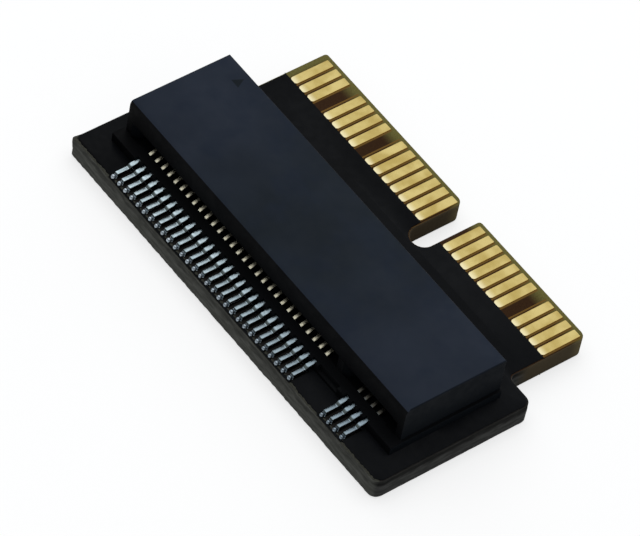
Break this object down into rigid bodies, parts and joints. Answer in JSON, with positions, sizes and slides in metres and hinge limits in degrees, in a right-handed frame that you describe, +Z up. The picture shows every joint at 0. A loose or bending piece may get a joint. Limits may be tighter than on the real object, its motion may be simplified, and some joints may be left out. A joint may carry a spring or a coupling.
{
  "type": "nvme adapter card",
  "caption": "T-shaped circuit board with a low card-edge socket along one side and gold edge fingers on its keyed tongue.",
  "frame": {"origin": "middle of the flat underside, at the centre of the bounding box's base", "axes": "+X along the board's long side towards the socket's key rib, +Y from the socket's mouth to the finger edge, +Z up out of the socket's top"},
  "size_m": [0.024, 0.0138, 0.0038],
  "materials": {
    "laminate": "bare glass-fibre laminate",
    "solder_mask": "satin black lacquer",
    "gold_plating": "bright gold over nickel",
    "tinned_pad": "tinned copper",
    "solder": "bright solder",
    "contact_metal": "tinned foot and gold-flashed beam",
    "socket_plastic": "fine matt moulding",
    "nail_metal": "tin plate"
  },
  "bodies": {
    "root": {"circuit_board": "laminate", "solder_mask_top": "solder_mask", "solder_mask_bottom": "solder_mask", "fingers_top_a": "gold_plating", "fingers_top_b": "gold_plating", "fingers_top_c": "gold_plating", "fingers_top_d": "gold_plating", "fingers_top_e": "gold_plating", "fingers_bottom_a": "gold_plating", "fingers_bottom_b": "gold_plating", "fingers_bottom_c": "gold_plating", "fingers_bottom_d": "gold_plating", "fingers_bottom_e": "gold_plating", "front_pads": "tinned_pad", "rear_pads": "tinned_pad", "hold_down_pads": "tinned_pad", "front_solder": "solder", "rear_solder": "solder", "hold_down_solder": "solder", "front_contacts_wide": "contact_metal", "front_contacts_narrow": "contact_metal", "rear_contacts_wide": "contact_metal", "rear_contacts_narrow": "contact_metal", "socket_housing": "socket_plastic", "hold_down_left": "nail_metal", "hold_down_right": "nail_metal"}
  },
  "joints": []
}
